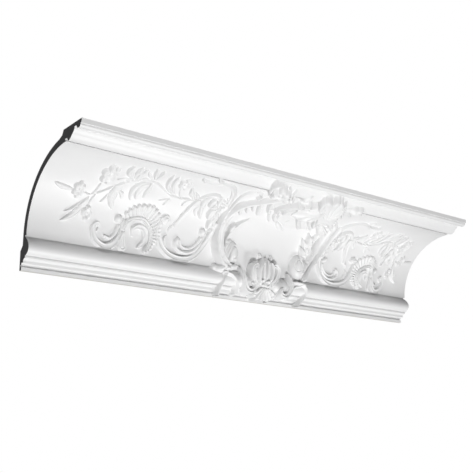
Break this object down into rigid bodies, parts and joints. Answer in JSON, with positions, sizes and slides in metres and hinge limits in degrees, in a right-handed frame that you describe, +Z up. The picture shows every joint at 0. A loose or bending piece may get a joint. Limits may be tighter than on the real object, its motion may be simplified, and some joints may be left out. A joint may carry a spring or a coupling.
{
  "type": "cornice moulding",
  "caption": "Coved cornice moulding for the corner of a wall and a ceiling, carved with rococo scrolls, leaves, shells and a central cartouche.",
  "frame": {"origin": "middle of the flat face that lies on the wall, halfway along the length and halfway up that face", "axes": "+X along the moulding, +Y into the wall, +Z up to the ceiling"},
  "size_m": [1, 0.221, 0.217],
  "materials": {
    "cornice_moulding": "white primer on moulded rigid foam, satin to matte"
  },
  "bodies": {
    "root": {"cornice_moulding": "cornice_moulding"}
  },
  "joints": []
}
